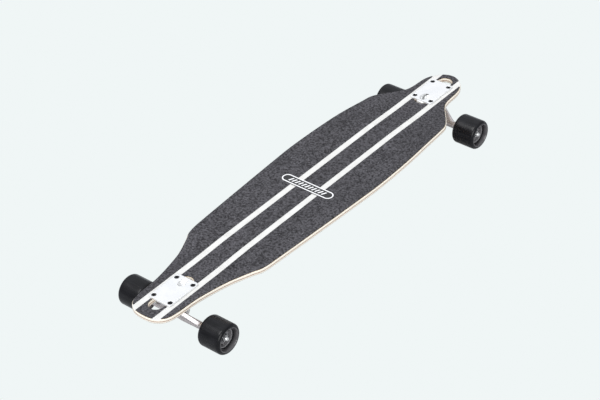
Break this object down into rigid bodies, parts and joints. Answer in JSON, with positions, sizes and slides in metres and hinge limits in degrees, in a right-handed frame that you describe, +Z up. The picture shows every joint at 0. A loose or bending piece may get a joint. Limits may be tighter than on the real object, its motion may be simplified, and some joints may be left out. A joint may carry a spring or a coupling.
{
  "type": "longboard skateboard",
  "caption": "Drop-through longboard: laminated deck with gripped top and two bare stripes, reverse-kingpin trucks that steer, and wheels that spin on bearings.",
  "frame": {"origin": "on the ground, under the middle of the board's length and on its centre line", "axes": "+X across the board to the right when facing the nose, +Y along the board towards the rounded nose, +Z up"},
  "size_m": [0.2596, 0.9804, 0.0953],
  "materials": {
    "deck_wood": "clear-coated maple ply with a white painted top",
    "grip_tape": "coarse black abrasive sheet",
    "cast_metal": "bright satin casting",
    "bright_steel": "zinc-plated steel",
    "black_steel": "black oxide",
    "bearing_steel": "ground steel with a dark shield",
    "bushing_urethane": "translucent cream urethane",
    "tyre_urethane": "smooth satin black urethane",
    "wheel_core": "dark grey moulded nylon",
    "cup_plastic": "black urethane"
  },
  "bodies": {
    "board": {"deck": "deck_wood", "grip_left": "grip_tape", "grip_centre": "grip_tape", "grip_right": "grip_tape", "front_baseplate": "cast_metal", "front_pivot_cup": "cup_plastic", "front_kingpin": "bright_steel", "front_kingpin_nut": "bright_steel", "front_boardside_washer": "bright_steel", "front_boardside_bushing": "bushing_urethane", "front_roadside_bushing": "bushing_urethane", "front_roadside_washer": "bright_steel", "front_deck_bolt_1": "black_steel", "front_deck_nut_1": "bright_steel", "front_deck_bolt_2": "black_steel", "front_deck_nut_2": "bright_steel", "front_deck_bolt_3": "black_steel", "front_deck_nut_3": "bright_steel", "front_deck_bolt_4": "black_steel", "front_deck_nut_4": "bright_steel", "rear_baseplate": "cast_metal", "rear_pivot_cup": "cup_plastic", "rear_kingpin": "bright_steel", "rear_kingpin_nut": "bright_steel", "rear_boardside_washer": "bright_steel", "rear_boardside_bushing": "bushing_urethane", "rear_roadside_bushing": "bushing_urethane", "rear_roadside_washer": "bright_steel", "rear_deck_bolt_1": "black_steel", "rear_deck_nut_1": "bright_steel", "rear_deck_bolt_2": "black_steel", "rear_deck_nut_2": "bright_steel", "rear_deck_bolt_3": "black_steel", "rear_deck_nut_3": "bright_steel", "rear_deck_bolt_4": "black_steel", "rear_deck_nut_4": "bright_steel"},
    "front_truck": {"front_hanger": "cast_metal", "front_axle": "bright_steel", "front_left_axle_nut": "bright_steel", "front_right_axle_nut": "bright_steel"},
    "front_left_wheel": {"front_left_tyre": "tyre_urethane", "front_left_core": "wheel_core", "front_left_inner_bearing": "bearing_steel", "front_left_outer_bearing": "bearing_steel"},
    "front_right_wheel": {"front_right_tyre": "tyre_urethane", "front_right_core": "wheel_core", "front_right_inner_bearing": "bearing_steel", "front_right_outer_bearing": "bearing_steel"},
    "rear_truck": {"rear_hanger": "cast_metal", "rear_axle": "bright_steel", "rear_left_axle_nut": "bright_steel", "rear_right_axle_nut": "bright_steel"},
    "rear_left_wheel": {"rear_left_tyre": "tyre_urethane", "rear_left_core": "wheel_core", "rear_left_inner_bearing": "bearing_steel", "rear_left_outer_bearing": "bearing_steel"},
    "rear_right_wheel": {"rear_right_tyre": "tyre_urethane", "rear_right_core": "wheel_core", "rear_right_inner_bearing": "bearing_steel", "rear_right_outer_bearing": "bearing_steel"}
  },
  "joints": [
    {"name": "front_truck_steer", "type": "hinge", "parent": "board", "child": "front_truck", "pos_m": [0, 0.40158, 0.03907], "axis": [0, 0.7071, 0.7071], "range_deg": [-18, 18], "stiffness_Nm_per_rad": 45, "deforming": ["front_boardside_bushing", "front_roadside_bushing"]},
    {"name": "front_left_wheel_spin", "type": "hinge", "parent": "front_truck", "child": "front_left_wheel", "pos_m": [-0.1028, 0.40865, 0.032], "axis": [1, 0, 0], "continuous": true},
    {"name": "front_right_wheel_spin", "type": "hinge", "parent": "front_truck", "child": "front_right_wheel", "pos_m": [0.1028, 0.40865, 0.032], "axis": [1, 0, 0], "continuous": true},
    {"name": "rear_truck_steer", "type": "hinge", "parent": "board", "child": "rear_truck", "pos_m": [0, -0.39308, 0.03907], "axis": [0, -0.7071, 0.7071], "range_deg": [-18, 18], "stiffness_Nm_per_rad": 45, "deforming": ["rear_boardside_bushing", "rear_roadside_bushing"]},
    {"name": "rear_left_wheel_spin", "type": "hinge", "parent": "rear_truck", "child": "rear_left_wheel", "pos_m": [-0.1028, -0.40015, 0.032], "axis": [1, 0, 0], "continuous": true},
    {"name": "rear_right_wheel_spin", "type": "hinge", "parent": "rear_truck", "child": "rear_right_wheel", "pos_m": [0.1028, -0.40015, 0.032], "axis": [1, 0, 0], "continuous": true}
  ]
}
